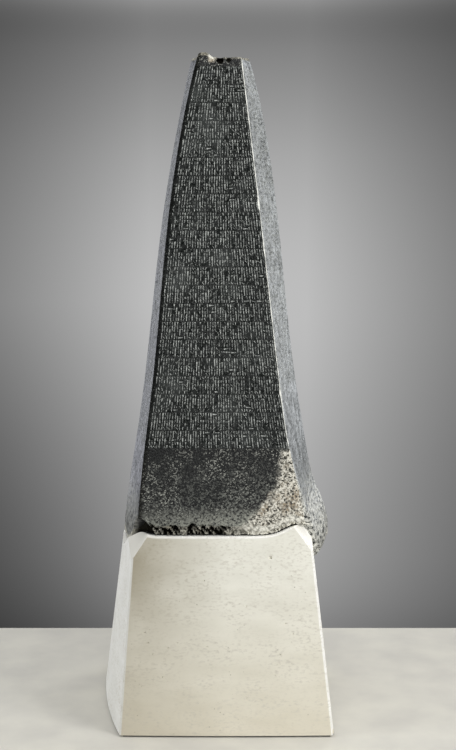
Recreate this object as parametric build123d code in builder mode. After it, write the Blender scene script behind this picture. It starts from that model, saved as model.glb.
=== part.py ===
from build123d import *
from math import exp
import os

# A four-sided tapering obelisk of dark diorite, broken at its foot and at its tip, standing in
# a seat that was carved for it in the top of a limestone plinth.  Millimetres, +Z up, the front
# face towards -Y.  The origin is at the middle of the underside of the plinth's foot.

# ---- Plinth: a limestone block with four leaning, slightly bowed faces ----------------------
plinth_back_width = 668        # across the back at the bottom, its widest line
plinth_front_width = 580       # across the front at the bottom
plinth_front_shift = 37        # the front's middle stands this far right of the back's
plinth_depth = 580             # front to back at the bottom
plinth_rise = 536              # from the block's underside to the seat at the front's middle
front_bow = 4                  # how far the front face swells beyond its two corners
back_bow = 4
right_bow = 2
left_bow = 21                  # the left face swells much more than the others
left_top_bow = 6               # and less at its top edge
left_arris_chamfer = 3
right_arris_chamfer = 6

# ---- Foot: a dark recessed plate that leaves a shadow line under the block ------------------
foot_height = 5
foot_recess = 10

# ---- Shaft: widths of its flat front and back faces at eight levels above the seat ---------
shaft_axis = 8                 # how far right of the plinth's axis the shaft's axis stands
root_rise = -165               # below the lowest point of the broken underside
root_front_width = 522
root_front_shift = 39          # each shift is that face's middle, right of the shaft's axis
root_back_width = 608
root_back_shift = 16
foot_front_width = 478         # at the seat itself
foot_front_shift = 25
foot_back_width = 596
foot_back_shift = 23
foot_depth = 431
ankle_rise = 90
ankle_front_width = 444
ankle_front_shift = 14
ankle_back_width = 548
ankle_back_shift = 12
hip_rise = 180
hip_front_width = 410
hip_front_shift = 5
hip_back_width = 512
hip_back_shift = 10
waist_rise = 400
waist_front_width = 346
waist_front_shift = 0
waist_back_width = 441
waist_back_shift = 8
shoulder_rise = 800
shoulder_front_width = 262
shoulder_front_shift = -4
shoulder_back_width = 345
shoulder_back_shift = 9
neck_rise = 1115
neck_front_width = 178
neck_front_shift = 0
neck_back_width = 245
neck_back_shift = 13
crown_rise = 1300
crown_front_width = 113
crown_front_shift = 10
crown_back_width = 158
crown_back_shift = 11
front_batter = 0.100           # how far the front face leans back for each millimetre of rise
back_batter = 0.135

# ---- How the plinth's top edge lies against the foot of the shaft ---------------------------
front_ledge = 11               # plinth showing in front of the shaft
back_ledge = 26
front_left_ledge = 6
front_right_overhang = 11      # shaft standing out beyond the plinth's front right corner
back_left_overhang = 5
back_right_overhang = 58

# ---- Seat: the uneven bed that the broken underside and the plinth's top share --------------
seat_fall = 95                 # the bed drops this much towards the back
seat_fall_length = 330
hump_height = 30               # the bed rises under the front right corner
hump_inset = 27
hump_reach = 54
hump_length = 110
horn_height = 8                # and a little at the front left corner
horn_inset = 8
horn_reach = 28
horn_length = 70
lobe_drop = 50                 # the stone hangs down beside the plinth's right face
lobe_step = 6                  # and a little lower than the bed wherever it overhangs
lobe_gap = 4                   # between the hanging stone and the plinth's face
lobe_lead = 20                 # the hanging part starts this far before the seat's front
lobe_onset = 110               # and comes to its full depth over this length
lobe_setback = 120             # from the front of the seat back to the middle of the lobe
lobe_length = 200
lobe_spread = 60               # it deepens over this width up to the plinth's right face
lobe_clearance = 30            # on the other three sides nothing hangs within this reach
seat_headroom = 12             # of rough block above the bed's highest point, all cut away
bedding_thickness = 3
bedding_recess = 36            # the bedding stops short of the plinth's top edge
seat_border = 90               # the bed is drawn this far past the plinth's top
seat_spacing_across = 24       # between the lines that the bed is drawn through
seat_spacing_along = 50

# ---- Cut corners: how far from the corner the cut crosses the edges across, back and down ----
left_facet_across = 32         # the plinth's front left top corner
left_facet_back = 110
left_facet_down = 46
right_facet_across = 44        # and its front right one
right_facet_back = 115
right_facet_down = 58
corner_loss_across = 27        # the shaft's broken front left corner, measured up from the seat
corner_loss_back = 44
corner_loss_up = 44

# ---- Broken tip -----------------------------------------------------------------------------
crown_loss = 17                # the break lies this far below the last full level, at the front
crown_back_rise = 10           # and rises towards the back
crown_peak_height = 13         # a small flat-topped peak stands by the front left arris
crown_peak_inset = 13
crown_peak_reach = 18
crown_border = 30              # the break is drawn this far past the shaft
crown_spacing = 8
socket_radius = 10             # two round sockets cut into the tip's front edge
socket_inset = 57              # from the front left arris to the socket's middle
socket_depth = 12
notch_radius = 7
notch_inset = 80
notch_depth = 9

foot_level = foot_height + plinth_rise
seat_top = foot_level + hump_height
block_top = seat_top + seat_headroom
foot_front = -plinth_depth / 2 + front_batter * plinth_rise + front_ledge


def bell(distance, reach):
    """A smooth hump: 1 at its middle, fading out over reach."""
    return exp(-((distance / reach) ** 2))


def plateau(distance, reach):
    """A hump with a flatter top and steeper ends."""
    return exp(-((distance / reach) ** 4))


def smooth_step(share):
    """Rise smoothly from 0 to 1."""
    share = min(max(share, 0), 1)
    return share * share * (3 - 2 * share)


def span(middle, width):
    return (middle - width / 2, middle + width / 2)


def four_sided(level, front_y, back_y, front, back, bows):
    """Sketch a level outline of the plinth.  front and back are (left x, right x), and the
    bows of its four arcs run front, right, back, left."""
    corners = [(front[0], front_y), (front[1], front_y), (back[1], back_y), (back[0], back_y)]
    with BuildSketch(Plane.XY.offset(level)) as sketch:
        with BuildLine():
            for number, bow in enumerate(bows):
                SagittaArc(corners[number], corners[(number + 1) % 4], -bow)
        make_face()
    return sketch.sketch


def shaft_face(start_y, batter, levels):
    """A flat leaning face of the shaft between its two curved arrises.  levels are
    (rise, width, shift), from the root up."""
    def at(rise, x):
        return (shaft_axis + x, start_y + batter * rise, foot_level + rise)

    left = [at(rise, shift - width / 2) for rise, width, shift in levels]
    right = [at(rise, shift + width / 2) for rise, width, shift in levels]
    with BuildLine() as outline:
        Spline(*left)
        Spline(*right)
        Line(left[0], right[0])
        Line(left[-1], right[-1])
    return make_face(outline.line, mode=Mode.PRIVATE)


# The plinth's top outline, from the foot of the shaft
foot_front_span = span(shaft_axis + foot_front_shift, foot_front_width)
foot_back_span = span(shaft_axis + foot_back_shift, foot_back_width)
top_front_y = foot_front - front_ledge + front_bow
top_back_y = foot_front + foot_depth + back_ledge
top_front = (foot_front_span[0] - front_left_ledge, foot_front_span[1] - front_right_overhang)
top_back = (foot_back_span[0] + back_left_overhang, foot_back_span[1] - back_right_overhang)


def plinth_top_outline(level):
    return four_sided(
        level, top_front_y, top_back_y, top_front, top_back,
        (front_bow, right_bow, back_bow, left_top_bow),
    )


def plinth_bottom_outline(level):
    half_depth = plinth_depth / 2
    return four_sided(
        level, front_bow - half_depth, half_depth - back_bow,
        span(plinth_front_shift, plinth_front_width), span(0, plinth_back_width),
        (front_bow, right_bow, back_bow, left_bow),
    )


def seat_height(x, y):
    """The height of the carved bed at any place."""
    behind = y - top_front_y
    hump = bell(x - top_front[1] + hump_inset, hump_reach) * bell(behind, hump_length)
    horn = bell(x - top_front[0] - horn_inset, horn_reach) * bell(behind, horn_length)
    fall = seat_fall * smooth_step(behind / seat_fall_length) * (1 - hump) * (1 - horn)
    return foot_level - fall + hump_height * hump + horn_height * horn


def hanging_height(x, y):
    """The height of the stone's underside where it hangs beside the plinth."""
    behind = y - top_front_y
    onset = smooth_step((behind + lobe_lead) / lobe_onset)
    beside = smooth_step((x - top_front[1] + lobe_spread) / lobe_spread)
    lobe = lobe_drop * onset * beside * bell(behind - lobe_setback, lobe_length)
    return seat_height(x, y) - lobe_step - lobe


def evenly(start, end, spacing):
    """Places from start to end, about spacing apart."""
    count = max(round((end - start) / spacing), 2)
    return [start + (end - start) * number / count for number in range(count + 1)]


def surface(xs, ys, height):
    """A smooth face through a net of splines that follow height(x, y)."""
    across = [Spline(*[(x, y, height(x, y)) for x in xs]) for y in ys]
    along = [Spline(*[(x, y, height(x, y)) for y in ys]) for x in xs]
    return Face.make_gordon_surface(across, along)


seat_xs = evenly(top_back[0] - seat_border, top_back[1] + seat_border, seat_spacing_across)
seat_ys = evenly(top_front_y - seat_border, top_back_y + seat_border, seat_spacing_along)
seat = surface(seat_xs, seat_ys, seat_height)
hanging_underside = surface(seat_xs, seat_ys, hanging_height)

# ---- Foot -----------------------------------------------------------------------------------
foot_left, foot_right = span(plinth_front_shift, plinth_front_width)
with BuildPart() as plinth_foot:
    with BuildSketch() as foot_plan:
        Polygon(
            (foot_left, -plinth_depth / 2), (foot_right, -plinth_depth / 2),
            (plinth_back_width / 2, plinth_depth / 2), (-plinth_back_width / 2, plinth_depth / 2),
            align=None,
        )
        offset(amount=-foot_recess, kind=Kind.INTERSECTION)
    extrude(amount=foot_height)
plinth_foot.part.label = "plinth_foot"

# ---- Plinth block: lofted, its arrises eased, then the seat and the two corner facets cut ---
def corner_cut(corner, across, back, rise):
    """The plane that takes off a front corner: it crosses the three edges that meet there at
    these signed distances along X, Y and Z."""
    x, y, z = corner
    return Plane(origin=(x + across, y, z), z_dir=(-1 / across, -1 / back, -1 / rise))


left_facet = corner_cut(
    (top_front[0], top_front_y, foot_level), left_facet_across, left_facet_back, -left_facet_down
)
right_facet = corner_cut(
    (top_front[1], top_front_y, seat_top), -right_facet_across, right_facet_back, -right_facet_down
)
with BuildPart() as plinth_block:
    loft([plinth_bottom_outline(foot_height), plinth_top_outline(block_top)])
    arrises = plinth_block.edges().filter_by(lambda edge: abs(edge.tangent_at(0.5).Z) > 0.9)
    chamfer(arrises.sort_by(Axis.X)[:2], left_arris_chamfer)
    arrises = plinth_block.edges().filter_by(lambda edge: abs(edge.tangent_at(0.5).Z) > 0.9)
    chamfer(arrises.sort_by(Axis.X)[-2:], right_arris_chamfer)
    extrude(seat, amount=block_top, dir=(0, 0, 1), mode=Mode.SUBTRACT)
    split(bisect_by=left_facet, keep=Keep.BOTTOM)
    split(bisect_by=right_facet, keep=Keep.BOTTOM)
plinth_block.part.label = "plinth_block"

# ---- Bedding: a thin even sheet on the seat, stopping short of the plinth's edge ------------
bedding_floor = Pos(0, 0, bedding_thickness) * seat
with BuildPart() as bedding_sheet:
    with BuildSketch(Plane.XY) as bedding_plan:
        add(plinth_top_outline(0))
        offset(amount=-bedding_recess, kind=Kind.INTERSECTION)
    extrude(amount=block_top)
    extrude(bedding_floor, amount=block_top, dir=(0, 0, 1), mode=Mode.SUBTRACT)
    extrude(seat, amount=block_top, dir=(0, 0, -1), mode=Mode.SUBTRACT)
bedding_sheet.part.label = "bedding_sheet"

# ---- Shaft: lofted from its front face to its back face, then broken off at foot and tip ----
crown_level = foot_level + crown_rise - crown_loss
crown_front = span(shaft_axis + crown_front_shift, crown_front_width)
crown_back = span(shaft_axis + crown_back_shift, crown_back_width)
crown_front_y = foot_front + front_batter * crown_rise
crown_back_y = foot_front + foot_depth - back_batter * crown_rise


def crown_height(x, y):
    """The height of the broken tip at any place."""
    back_rise = crown_back_rise * smooth_step((y - crown_front_y) / (crown_back_y - crown_front_y))
    peak_across = plateau(x - crown_front[0] - crown_peak_inset, crown_peak_reach)
    peak = crown_peak_height * peak_across * bell(y - crown_front_y, crown_peak_reach)
    return crown_level + back_rise + peak


crown_break = surface(
    evenly(crown_back[0] - crown_border, crown_back[1] + crown_border, crown_spacing),
    evenly(crown_front_y - crown_border, crown_back_y + crown_border, crown_spacing),
    crown_height,
)
corner_break = corner_cut(
    (foot_front_span[0], foot_front, foot_level), corner_loss_across, corner_loss_back, corner_loss_up
)
front_face = shaft_face(foot_front, front_batter, [
    (root_rise, root_front_width, root_front_shift),
    (0, foot_front_width, foot_front_shift),
    (ankle_rise, ankle_front_width, ankle_front_shift),
    (hip_rise, hip_front_width, hip_front_shift),
    (waist_rise, waist_front_width, waist_front_shift),
    (shoulder_rise, shoulder_front_width, shoulder_front_shift),
    (neck_rise, neck_front_width, neck_front_shift),
    (crown_rise, crown_front_width, crown_front_shift),
])
back_face = shaft_face(foot_front + foot_depth, -back_batter, [
    (root_rise, root_back_width, root_back_shift),
    (0, foot_back_width, foot_back_shift),
    (ankle_rise, ankle_back_width, ankle_back_shift),
    (hip_rise, hip_back_width, hip_back_shift),
    (waist_rise, waist_back_width, waist_back_shift),
    (shoulder_rise, shoulder_back_width, shoulder_back_shift),
    (neck_rise, neck_back_width, neck_back_shift),
    (crown_rise, crown_back_width, crown_back_shift),
])
clearance_front_y = -plinth_depth / 2 - lobe_clearance
clearance_back_y = plinth_depth / 2 + lobe_clearance
clearance_left = -plinth_back_width / 2 - lobe_clearance
with BuildPart() as plinth_clearance:
    loft([
        four_sided(
            level, clearance_front_y, clearance_back_y,
            (clearance_left, front_right + lobe_gap), (clearance_left, back_right + lobe_gap),
            (front_bow, right_bow, back_bow, left_bow),
        )
        for level, front_right, back_right in (
            (foot_height, foot_right, plinth_back_width / 2),
            (block_top, top_front[1], top_back[1]),
        )
    ])
    extrude(bedding_floor, amount=block_top, dir=(0, 0, 1), mode=Mode.SUBTRACT)
with BuildPart() as obelisk_shaft:
    loft([front_face, back_face])
    add(plinth_clearance.part, mode=Mode.SUBTRACT)
    extrude(hanging_underside, amount=foot_level, dir=(0, 0, -1), mode=Mode.SUBTRACT)
    extrude(crown_break, amount=crown_rise, dir=(0, 0, 1), mode=Mode.SUBTRACT)
    split(bisect_by=corner_break, keep=Keep.BOTTOM)
    for inset, radius, depth in (
        (socket_inset, socket_radius, socket_depth),
        (notch_inset, notch_radius, notch_depth),
    ):
        with Locations((crown_front[0] + inset, crown_front_y, crown_level)):
            Cylinder(radius, 2 * depth, rotation=(90, 0, 0), mode=Mode.SUBTRACT)
obelisk_shaft.part.label = "obelisk_shaft"

os.makedirs("parts", exist_ok=True)
for piece in (plinth_foot, plinth_block, bedding_sheet, obelisk_shaft):
    export_step(piece.part, f"parts/{piece.part.label}.step")
    size = piece.part.bounding_box().size
    print(piece.part.label, len(piece.part.solids()), round(piece.part.volume / 1e6, 1), "litres", size)
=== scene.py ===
# %% [markdown]
# # A broken diorite obelisk on its limestone plinth
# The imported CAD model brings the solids: the tapering shaft, the bedding under it, the plinth
# block and the plate that it stands on.  This lesson gives them their surfaces: a shaft carved
# with ruled bands of chisel strokes and broken at its foot and tip, and a rubbed limestone block
# with eased edges.  Everything is in metres, with +Z up and the front towards -Y.

import random
from math import ceil, cos, radians, sin

import bmesh
import bpy
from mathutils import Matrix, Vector, noise
from mathutils.bvhtree import BVHTree


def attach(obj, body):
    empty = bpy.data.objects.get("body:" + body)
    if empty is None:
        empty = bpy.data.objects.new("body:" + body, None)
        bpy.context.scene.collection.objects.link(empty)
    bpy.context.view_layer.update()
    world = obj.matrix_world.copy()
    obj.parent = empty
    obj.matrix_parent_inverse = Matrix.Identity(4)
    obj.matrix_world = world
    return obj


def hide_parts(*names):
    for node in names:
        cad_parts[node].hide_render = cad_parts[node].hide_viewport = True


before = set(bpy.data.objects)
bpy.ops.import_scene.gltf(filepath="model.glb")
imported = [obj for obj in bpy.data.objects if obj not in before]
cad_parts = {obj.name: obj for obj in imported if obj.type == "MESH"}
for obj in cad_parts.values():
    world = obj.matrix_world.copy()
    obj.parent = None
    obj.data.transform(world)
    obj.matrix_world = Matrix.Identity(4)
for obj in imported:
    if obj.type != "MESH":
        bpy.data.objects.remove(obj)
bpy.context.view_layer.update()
MM = 0.001

# %% [markdown]
# ## Camera
# The obelisk is seen nearly square on, from three quarters of the way up, with a lens about as
# long as a portrait lens.  The camera looks slightly down, so the sides close in a little
# towards the floor.  It is set by numbers and not by aiming it at an object, so that it stays
# where it is when the object changes.

# %% Camera
CAMERA_PLACE = (0.040, -3.664, 1.3825)
CAMERA_TILT = 6.686          # degrees below level
LENS = 62.4                  # millimetres, in front of a sensor 36 mm wide
camera_data = bpy.data.cameras.new("camera")
camera_data.lens = LENS
camera_data.sensor_width = 36
camera = bpy.data.objects.new("camera", camera_data)
camera.location = CAMERA_PLACE
camera.rotation_euler = (radians(90 - CAMERA_TILT), 0, 0)
bpy.context.scene.collection.objects.link(camera)
bpy.context.scene.camera = camera
print("camera at", CAMERA_PLACE, "lens", LENS)

# %% [markdown]
# ## Helpers for materials
# Colours are written as the eye sees them, in sRGB hex, and one function turns them to the
# linear values that the renderer works in.  One more adds a node with its settings and links.
# Every pattern lies on Object coordinates, which are metres here, so each new material comes
# with them and a grain of 3 mm can be asked for as 3 mm.


# %% Material helpers
def linear(hex_colour):
    """Turn an sRGB colour such as "#808080" to linear RGBA."""
    values = [int(hex_colour[first:first + 2], 16) / 255 for first in (1, 3, 5)]
    # These are the constants of the sRGB standard: a straight foot, then a curve.
    values = [v / 12.92 if v <= 0.04045 else ((v + 0.055) / 1.055) ** 2.4 for v in values]
    return (*values, 1)


def add_node(tree, kind, inputs=None, **settings):
    """Add a node.  inputs says what each of its sockets gets: another node's socket, a hex colour
    or a plain value."""
    node = tree.nodes.new(kind)
    for name, value in settings.items():
        setattr(node, name, value)
    for name, value in (inputs or {}).items():
        if isinstance(value, bpy.types.NodeSocket):
            tree.links.new(value, node.inputs[name])
        else:
            node.inputs[name].default_value = linear(value) if isinstance(value, str) else value
    return node


def new_material(name):
    """Give a new material, its empty node tree, and the places that its patterns lie on."""
    material = bpy.data.materials.new(name)
    material.use_nodes = True
    tree = material.node_tree
    tree.nodes.clear()
    print("material", name)
    return material, tree, add_node(tree, "ShaderNodeTexCoord").outputs["Object"]


print("white is", linear("#FFFFFF"), "and middle grey is", round(linear("#808080")[0], 3))

# %% [markdown]
# ## Shaft: reading the solid
# The shaft is one stone, so it becomes one closed mesh that replaces the plain CAD node.  Its
# thousands of chisel strokes each need a few faces of their own, set out on a leaning, curving
# surface.  Operators would have to be called for every stroke, so the mesh is set out in code:
# level rings of vertices up the shaft, each laid on the CAD surface, with a grid of cells
# between them.  First the CAD copy is measured: where its four arrises run, and where its sides
# end in the broken foot and the broken tip.

# %% Merged copy of the CAD shaft
cad_shaft = bmesh.new()
cad_shaft.from_mesh(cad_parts["obelisk_shaft"].data)
bmesh.ops.remove_doubles(cad_shaft, verts=cad_shaft.verts, dist=0.01 * MM)
shaft_surface = BVHTree.FromBMesh(cad_shaft)
print("CAD shaft faces", len(cad_shaft.faces))

# %% Arrises
ARRIS_DIRECTIONS = ((-1, -1), (1, -1), (1, 1), (-1, 1))     # front left, then anticlockwise
ARRIS_FEET = (0.592, 0.580, 0.430, 0.460)                   # lowest level where each is whole
ARRIS_TOP = 1.805                                           # highest level where all are whole
ARRIS_STEP = 15 * MM


def crossings(level):
    """Where the level plane cuts the edges of the CAD shaft."""
    found = []
    for edge in cad_shaft.edges:
        a, b = edge.verts[0].co, edge.verts[1].co
        if (a.z - level) * (b.z - level) < 0:
            found.append(a.lerp(b, (level - a.z) / (b.z - a.z)))
    return found


def trace_arris(direction, foot):
    """Places up one arris, lowest first."""
    steps = ceil((ARRIS_TOP - foot) / ARRIS_STEP)
    levels = [foot + (ARRIS_TOP - foot) * step / steps for step in range(steps + 1)]
    return [
        max(crossings(level), key=lambda place: place.x * direction[0] + place.y * direction[1])
        for level in levels
    ]


arrises = [trace_arris(direction, foot) for direction, foot in zip(ARRIS_DIRECTIONS, ARRIS_FEET)]
print("places on each arris", [len(arris) for arris in arrises])


def arris_at(number, level):
    """The place on an arris at a level, carried straight on past its two ends."""
    arris = arrises[number % 4]
    share = (level - arris[0].z) / (arris[-1].z - arris[0].z) * (len(arris) - 1)
    lower = min(max(int(share), 0), len(arris) - 2)
    return arris[lower].lerp(arris[lower + 1], share - lower)


# %% Places on the four sides
REACH = 60 * MM              # how far outside a side a line starts, to meet it
STEEPEST = 0.6               # a surface whose normal rises or dips more is no side
SIDE_NAMES = ("front", "right", "back", "left")


def outward(side, level):
    """The level direction that a side looks in."""
    along = arris_at(side + 1, level) - arris_at(side, level)
    return Vector((along.y, -along.x, 0)).normalized()


def touch(side, share, level):
    """The place where a level line from outside meets a side of the CAD shaft, or None where
    it passes over the tip or under the foot."""
    place = arris_at(side, level).lerp(arris_at(side + 1, level), share)
    away = outward(side, level)
    hit, normal, *_ = shaft_surface.ray_cast(place + away * REACH, -away, 2 * REACH)
    if hit is None or abs(normal.z) > STEEPEST:
        return None
    return hit


END_STEPS = 220              # steps of the first search for an end
HALVINGS = 8                 # how often the last of those steps is halved


def end_level(side, share, inside, outside):
    """The first level where a side ends, between one level on it and one beyond its end."""
    step = (outside - inside) / END_STEPS
    while touch(side, share, inside + step):
        inside += step
    outside = inside + step
    for _ in range(HALVINGS):
        middle = (inside + outside) / 2
        if touch(side, share, middle):
            inside = middle
        else:
            outside = middle
    return inside


def side_width(side, level):
    return (arris_at(side + 1, level) - arris_at(side, level)).length


print("side widths at 1 m", [round(side_width(side, 1.0), 3) for side in range(4)])

# %% [markdown]
# ## Shaft: rings and cells
# A ring is four rows of vertices, one for each side.  The arris itself has no vertex: the last
# vertex of one side and the first of the next stand a little back from it, which leaves a narrow
# worn strip instead of a knife edge.  Strips of faces join one ring to the next, and where the
# shaft widens and the next ring has more vertices, the strip is zipped with triangles.

# %% Mesh lists
POLISHED, CUT, ARRIS_HIGHLIGHT, PECKED, BROKEN = range(5)      # material slots of the shaft
places, faces, finishes = [], [], []
sunk = {}                   # painted shade of some vertices where they are broken in, from 0 to 1
rng = random.Random(7)      # every random choice on the shaft draws from this


def add_place(place):
    places.append(place)
    return len(places) - 1


def add_face(corners, finish):
    faces.append(corners)
    finishes.append(finish)


# %% Rings
ARRIS_WEAR = (1.2 * MM, 2.1 * MM, 2.0 * MM, 2.0 * MM)
CHIPS_PER_METRE, CHIP_WEAR = 22, 2.2     # how often along the arris, and how much they add
FINE_PER_METRE, FINE_WEAR = 90, 0.25


def arris_wear(number, level):
    """How far the side's first vertex stands back from a worn arris.  Chips and fine wear are
    noise up the arris, and each arris has its own place in that noise."""
    number = number % 4
    chip = max(noise.noise(Vector((number * 9.1, level * CHIPS_PER_METRE, 3.3))) - 0.25, 0)
    fine = noise.noise(Vector((number * 4.7, level * FINE_PER_METRE, 1.1)))
    return ARRIS_WEAR[number] * (1 + CHIP_WEAR * chip + FINE_WEAR * fine)


def shares(side, level, count):
    """Even places across a side, between its two worn arrises."""
    width = side_width(side, level)
    first = arris_wear(side, level) / width
    last = 1 - arris_wear(side + 1, level) / width
    return [first + (last - first) * number / count for number in range(count + 1)]


def add_ring(counts, place_at, level):
    """Add a ring.  place_at(side, share) gives each vertex its place."""
    return [
        [add_place(place_at(side, share)) for share in shares(side, level, counts[side])]
        for side in range(4)
    ]


def zip_rows(lower, upper, finish):
    """Fill between two rows of vertices whose numbers may differ."""
    i, j = 0, 0
    while i < len(lower) - 1 or j < len(upper) - 1:
        lower_share = (i + 1) / (len(lower) - 1)
        upper_share = (j + 1) / (len(upper) - 1)
        if i < len(lower) - 1 and lower_share <= upper_share:
            add_face((lower[i], lower[i + 1], upper[j]), finish)
            i += 1
        else:
            add_face((lower[i], upper[j + 1], upper[j]), finish)
            j += 1


def fill_arrises(lower, upper, finish=POLISHED):
    """Fill the four narrow strips where one side meets the next.  Only the front right arris
    gets a painted highlight, where its worn strip catches the light from the right."""
    for side in range(4):
        following = (side + 1) % 4
        strip = ARRIS_HIGHLIGHT if SIDE_NAMES[side] == "front" and finish == POLISHED else finish
        add_face((lower[side][-1], lower[following][0], upper[following][0], upper[side][-1]), strip)


def fill_rings(lower, upper, side_finishes, arris_finish=POLISHED):
    """Fill between two rings, with a finish for each side and one for the arrises."""
    for side, finish in enumerate(side_finishes):
        if len(lower[side]) == len(upper[side]):
            for number in range(len(lower[side]) - 1):
                add_face((lower[side][number], lower[side][number + 1],
                          upper[side][number + 1], upper[side][number]), finish)
        else:
            zip_rows(lower[side], upper[side], finish)
    fill_arrises(lower, upper, arris_finish)


print("worn back at 1 m, in mm", [round(arris_wear(side, 1.0) / MM, 2) for side in range(4)])

# %% [markdown]
# ## Shaft: chisel strokes
# Each stroke is a small wedge: broad and deep at its head, thin and shallow at its tail, as one
# tap of a chisel leaves it.  The strokes are laid at random in ruled bands and spell nothing.
# A displacement map would have to be very fine to keep such sharp edges, so each stroke is real
# faces: four vertices on the surface and one below it, and a collar of triangles that joins it
# to the border of its cells.

# %% One stroke
STROKE_DEPTH = 1.4 * MM


def collar(chains, inner):
    """Join the border of a cell to the four vertices of a stroke inside it."""
    for number, chain in enumerate(chains):
        near, far = inner[number], inner[(number + 1) % 4]
        middle = len(chain) // 2
        for step in range(len(chain) - 1):
            add_face((chain[step], chain[step + 1], near if step < middle else far), POLISHED)
        add_face((chain[middle], far, near), POLISHED)


def carve(chains, outline, keel, depth):
    """Cut one stroke into a cell.  chains are its bottom, right, top and left borders, and
    outline and keel are places across and up the cell, from 0 to 1."""
    a, b, c, d = (places[chain[0]] for chain in chains)
    inwards = (d - a).cross(b - a).normalized()

    def on_cell(across, up):
        return a.lerp(b, across).lerp(d.lerp(c, across), up)

    inner = [add_place(on_cell(*place)) for place in outline]
    bottom = add_place(on_cell(*keel) + inwards * depth)
    collar(chains, inner)
    for number in range(4):
        add_face((inner[number], inner[(number + 1) % 4], bottom), CUT)


# %% Stroke shapes
# Each shape draws its own half widths at random and gives its outline and its deepest place, both
# as shares across and up a cell of this height and width.
def upright(height, width):
    """A tall wedge with its head at the top."""
    head, tail = rng.uniform(1.2, 1.7) * MM / width, rng.uniform(0.4, 0.8) * MM / width
    middle, lean = rng.uniform(0.42, 0.58), rng.uniform(-0.06, 0.06)
    low, high = 1.0 * MM / height, 1 - 1.2 * MM / height
    return [(middle - tail + lean, low), (middle + tail + lean, low),
            (middle + head, high), (middle - head, high)], (middle, high - 2.5 * MM / height)


def level_stroke(height, width):
    """A long wedge with its head at the left."""
    head, tail = rng.uniform(1.6, 2.2) * MM / height, rng.uniform(0.6, 0.9) * MM / height
    middle = rng.uniform(0.4, 0.6)
    low, high = 1.0 * MM / width, 1 - 1.0 * MM / width
    return [(low, middle - head), (high, middle - tail),
            (high, middle + tail), (low, middle + head)], (low + 2.5 * MM / width, middle)


def slanting(height, width):
    """A short broad wedge that leans left or right."""
    turn = rng.choice((-1, 1)) * rng.uniform(0.3, 1.0)
    middle_x, middle_y = rng.uniform(0.42, 0.58), rng.uniform(0.42, 0.58)
    half_long, half_wide = rng.uniform(3.2, 4.4) * MM, rng.uniform(1.2, 1.7) * MM
    outline = []
    for across, up in ((-0.4, -1), (0.4, -1), (1, 1), (-1, 1)):      # narrow tail, broad head
        x, y = across * half_wide, up * half_long
        outline.append((
            min(max(middle_x + (x * cos(turn) - y * sin(turn)) / width, 0.08), 0.92),
            min(max(middle_y + (x * sin(turn) + y * cos(turn)) / height, 0.06), 0.94),
        ))
    return outline, (middle_x - sin(turn) * 0.1, middle_y + cos(turn) * 0.1)


# %% Cells of one side of a band
# A random number up to the first of these is an upright stroke, up to the second a level one, up
# to the third a slanting one, and above them the cell stays plain.
UPRIGHT_TO, LEVEL_TO, SLANTING_TO = 0.62, 0.64, 0.88


def borders(grid, row, column, tall, wide):
    """The four borders of a block of cells, anticlockwise from its bottom left corner."""
    top, right = row + tall, column + wide
    return (
        [grid[row][number] for number in range(column, right + 1)],
        [grid[number][right] for number in range(row, top + 1)],
        [grid[top][number] for number in range(right, column - 1, -1)],
        [grid[number][column] for number in range(top, row - 1, -1)],
    )


def choose_cells(free, row, column, rows, columns):
    """Choose a stroke and how many cells it takes, up and across."""
    chance = rng.random()
    if chance < UPRIGHT_TO:
        tall = rng.choice((1, 1, 2, 2, 3))
        while row + tall > rows or any((row + n, column) not in free for n in range(tall)):
            tall -= 1
        return upright, tall, 1
    if chance < LEVEL_TO:
        wide = 2
        while column + wide > columns or any((row, column + n) not in free for n in range(wide)):
            wide -= 1
        return level_stroke, 1, wide
    if chance < SLANTING_TO:
        return slanting, 1, 1
    return None, 1, 1


def carve_side(grid, margin):
    """Fill one side of a band with strokes, but for the first few columns, left plain."""
    rows, columns = len(grid) - 1, len(grid[0]) - 1
    free = {(row, column) for row in range(rows) for column in range(columns)}
    for row in range(rows):
        for column in range(columns):
            if (row, column) not in free:
                continue
            shape, tall, wide = choose_cells(free, row, column, rows, columns)
            if column < margin:
                shape, tall, wide = None, 1, 1
            free -= {(row + n, column + m) for n in range(tall) for m in range(wide)}
            chains = borders(grid, row, column, tall, wide)
            if shape is None:
                add_face([corner for chain in chains for corner in chain[:-1]], POLISHED)
                continue
            width = (places[chains[1][0]] - places[chains[0][0]]).length
            height = (places[chains[3][0]] - places[chains[0][0]]).length
            outline, keel = shape(height, width)
            carve(chains, outline, keel, STROKE_DEPTH * rng.uniform(0.7, 1.1))


# %% [markdown]
# ## Shaft: bands from the plain foot to the tip
# Bands of strokes stand between thin ruled grooves, which the carver scratched first to keep the
# lines level.  The number of cells across each side follows its width, so that the strokes keep
# their size while the shaft tapers.

# %% Bands
BAND_FOOT = 0.776
BAND_HEAD = 1.800
BAND_COUNT = 21
ROWS = 5                    # of cells in each band
CELL_WIDTH = 7.0 * MM
JITTER = 0.16               # how far a vertex between cells may shift, as a share of a cell
RULE_WIDTH = 1.0 * MM
RULE_DEPTH = 0.4 * MM
RIGHT_INSCRIPTION_FOOT = 0.90
PLAIN_MARGIN = 1            # columns left plain along the front's left arris
band_height = (BAND_HEAD - BAND_FOOT) / BAND_COUNT


def on_side(level, recess=0):
    """Give the function that lays the vertices of a level ring on the CAD surface, or below it."""
    def place_at(side, share):
        place = touch(side, share, level)
        return place - outward(side, level) * recess
    return place_at


def cell_counts(level, width):
    """How many cells of about this width go across each side at a level."""
    return [max(round(side_width(side, level) / width), 3) for side in range(4)]


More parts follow.
